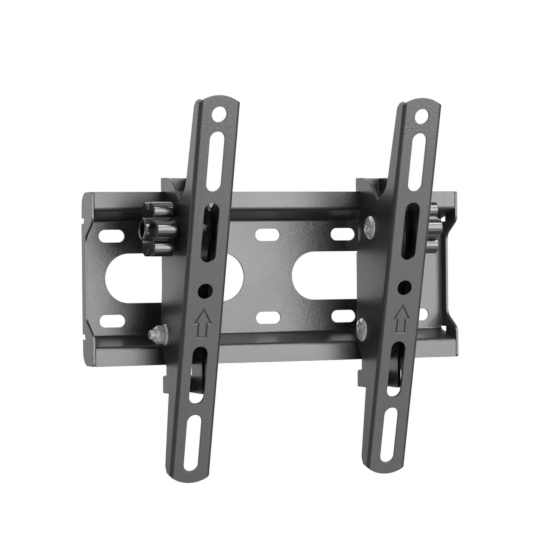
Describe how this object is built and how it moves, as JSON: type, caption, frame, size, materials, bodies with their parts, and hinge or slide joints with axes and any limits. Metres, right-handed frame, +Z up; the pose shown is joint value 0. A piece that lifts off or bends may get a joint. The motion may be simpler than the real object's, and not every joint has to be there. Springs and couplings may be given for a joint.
{
  "type": "tilting tv wall bracket",
  "caption": "Tilting television wall bracket: folded wall plate with sliding hook brackets and slotted tilt arms, locked by lobed knobs.",
  "frame": {"origin": "centre of the wall plate on the face that meets the wall", "axes": "+X along the plate to the viewer's right, +Y into the wall, +Z up; the television's side faces -Y"},
  "size_m": [0.2376, 0.0969, 0.2254],
  "materials": {
    "powder_coat": "satin",
    "zinc_steel": "satin",
    "knob_plastic": "gloss",
    "spacer_nylon": "matte"
  },
  "bodies": {
    "wall_plate": {"wall_plate": "powder_coat"},
    "left_bracket": {"left_hook_bracket": "powder_coat"},
    "left_arm": {"left_tilt_arm": "powder_coat", "left_pivot_bolt": "zinc_steel", "left_clamp_bolt": "zinc_steel", "left_pivot_nut": "zinc_steel", "left_pivot_spacer_outer": "spacer_nylon", "left_pivot_spacer_inner": "spacer_nylon", "left_clamp_spacer_outer": "spacer_nylon", "left_clamp_spacer_inner": "spacer_nylon"},
    "left_knob": {"left_clamp_knob": "knob_plastic", "left_knob_insert": "zinc_steel"},
    "right_bracket": {"right_hook_bracket": "powder_coat"},
    "right_arm": {"right_tilt_arm": "powder_coat", "right_pivot_bolt": "zinc_steel", "right_clamp_bolt": "zinc_steel", "right_pivot_nut": "zinc_steel", "right_pivot_spacer_outer": "spacer_nylon", "right_pivot_spacer_inner": "spacer_nylon", "right_clamp_spacer_outer": "spacer_nylon", "right_clamp_spacer_inner": "spacer_nylon"},
    "right_knob": {"right_clamp_knob": "knob_plastic", "right_knob_insert": "zinc_steel"}
  },
  "joints": [
    {"name": "left_slide", "type": "slide", "parent": "wall_plate", "child": "left_bracket", "axis": [1, 0, 0], "range_m": [-0.0395, 0.047]},
    {"name": "left_tilt", "type": "hinge", "parent": "left_bracket", "child": "left_arm", "pos_m": [-0.0646, -0.032, -0.033], "axis": [1, 0, 0], "range_deg": [-6.5, 0]},
    {"name": "left_knob_spin", "type": "hinge", "parent": "left_arm", "child": "left_knob", "pos_m": [-0.0866, -0.04592, 0.02901], "axis": [1, 0, 0], "continuous": true},
    {"name": "right_slide", "type": "slide", "parent": "wall_plate", "child": "right_bracket", "axis": [1, 0, 0], "range_m": [-0.044, 0.0423]},
    {"name": "right_tilt", "type": "hinge", "parent": "right_bracket", "child": "right_arm", "pos_m": [0.0618, -0.032, -0.033], "axis": [1, 0, 0], "range_deg": [-6.5, 0]},
    {"name": "right_knob_spin", "type": "hinge", "parent": "right_arm", "child": "right_knob", "pos_m": [0.0838, -0.04592, 0.02901], "axis": [1, 0, 0], "continuous": true}
  ]
}
